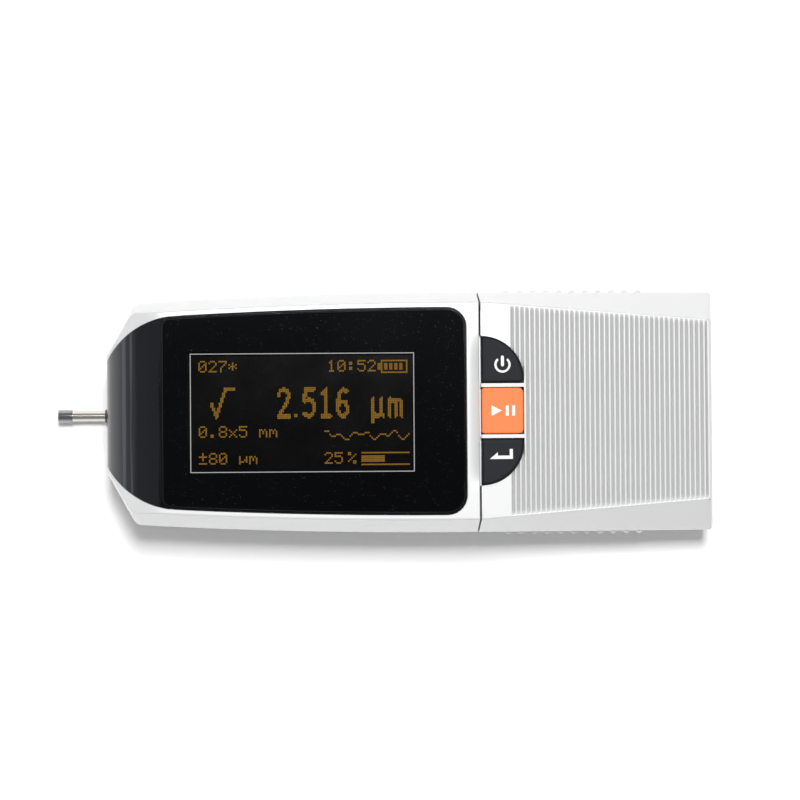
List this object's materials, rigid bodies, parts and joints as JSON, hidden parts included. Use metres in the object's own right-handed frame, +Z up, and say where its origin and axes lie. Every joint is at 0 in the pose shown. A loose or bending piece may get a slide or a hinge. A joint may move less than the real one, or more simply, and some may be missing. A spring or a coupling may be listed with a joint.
{
  "type": "surface roughness tester",
  "caption": "Handheld surface roughness tester: white two-shell body, glossy panel with display wrapping over the front, keys at the seam, ribbed grip and a motor-driven stylus pickup.",
  "frame": {"origin": "middle of the flat base that the body lies on, halfway along the body without the pickup", "axes": "+X along the body from the pickup end to the grip end, +Y across it, +Z up out of the display face"},
  "size_m": [0.1707, 0.0632, 0.0466],
  "materials": {
    "shell_plastic": "fine satin moulded plastic",
    "base_plastic": "fine textured moulded plastic",
    "panel_gloss": "polished",
    "window_sheet": "polished smoked sheet",
    "display_glass": "polished",
    "readout_amber": "lit dots",
    "print_white": "screen print",
    "key_dark": "satin",
    "key_orange": "satin",
    "silicone": "moulded",
    "circuit_board": "solder mask",
    "black_plastic": "moulded",
    "battery_wrap": "shrink film",
    "alloy": "milled",
    "brass": "turned",
    "steel": "ground",
    "dark_steel": "blackened"
  },
  "bodies": {
    "housing": {"front_housing": "shell_plastic", "grip_housing": "shell_plastic", "base_plate": "base_plastic", "front_panel": "panel_gloss", "display_window": "window_sheet", "oled_glass": "display_glass", "display_board": "circuit_board", "display_screws": "steel", "power_dome": "silicone", "start_dome": "silicone", "enter_dome": "silicone", "keypad_board": "circuit_board", "keypad_screws": "steel", "main_board": "circuit_board", "controller_chip": "black_plastic", "board_screws": "steel", "battery_pack": "battery_wrap", "charge_board": "circuit_board", "charge_screws": "steel", "usb_socket": "steel", "drive_frame": "alloy", "drive_screws": "steel", "guide_rods": "steel", "screw_bearing": "brass", "gearbox": "brass", "drive_motor": "steel", "probe_bushing": "black_plastic", "base_screws": "steel"},
    "drive_shaft": {"lead_screw": "steel", "shaft_coupler": "alloy", "output_shaft": "steel"},
    "pickup": {"carriage": "black_plastic", "drive_nut": "brass", "pickup_socket": "black_plastic", "pickup_body": "steel", "pickup_rod": "steel", "pickup_nose": "dark_steel"},
    "stylus": {"stylus_lever": "steel"},
    "power_button": {"power_key": "key_dark"},
    "start_button": {"start_key": "key_orange"},
    "enter_button": {"enter_key": "key_dark"}
  },
  "joints": [
    {"name": "pickup_traverse", "type": "slide", "parent": "housing", "child": "pickup", "axis": [-1, 0, 0], "range_m": [0, 0.0175]},
    {"name": "lead_screw_spin", "type": "hinge", "parent": "housing", "child": "drive_shaft", "pos_m": [0, 0, 0.013], "axis": [1, 0, 0], "range_deg": [0, 6301]},
    {"name": "stylus_swing", "type": "hinge", "parent": "pickup", "child": "stylus", "pos_m": [-0.047, 0, 0.005], "axis": [0, 1, 0], "range_deg": [-0.1, 0.1], "stiffness_Nm_per_rad": 0.05},
    {"name": "power_press", "type": "slide", "parent": "housing", "child": "power_button", "axis": [0, 0, -1], "range_m": [0, 0.0007], "stiffness_N_per_m": 600, "deforming": ["power_dome"]},
    {"name": "start_press", "type": "slide", "parent": "housing", "child": "start_button", "axis": [0, 0, -1], "range_m": [0, 0.0007], "stiffness_N_per_m": 600, "deforming": ["start_dome"]},
    {"name": "enter_press", "type": "slide", "parent": "housing", "child": "enter_button", "axis": [0, 0, -1], "range_m": [0, 0.0007], "stiffness_N_per_m": 600, "deforming": ["enter_dome"]}
  ],
  "couplings": [
    {"joint": "lead_screw_spin", "follows": "pickup_traverse", "rad_per_m": 6283.2}
  ]
}
